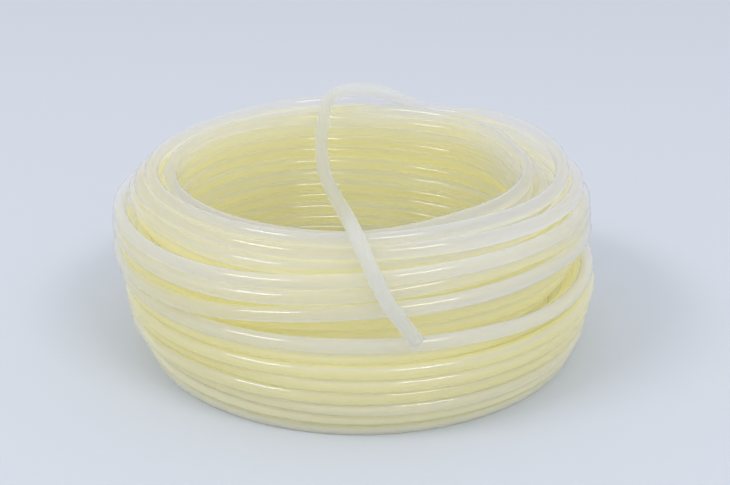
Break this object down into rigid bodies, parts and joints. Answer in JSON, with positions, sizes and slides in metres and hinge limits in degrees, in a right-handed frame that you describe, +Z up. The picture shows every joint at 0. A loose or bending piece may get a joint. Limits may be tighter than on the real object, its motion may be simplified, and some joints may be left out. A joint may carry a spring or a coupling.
{
  "type": "silicone tubing coil",
  "caption": "Loose coil of soft translucent silicone tubing, wound into a thick ring that lies flat, with its free end laid across the open middle and down the outside.",
  "frame": {"origin": "centre of the coil's base, on the surface it rests on", "axes": "+Z up along the coil's axis, -Y towards the side where the free end lies down the wall"},
  "size_m": [0.2182, 0.2225, 0.0935],
  "materials": {
    "silicone": "translucent milky silicone rubber, extruded, faintly yellow, softly glossy"
  },
  "bodies": {
    "root": {"tubing_coil": "silicone", "free_end": "silicone"}
  },
  "joints": []
}
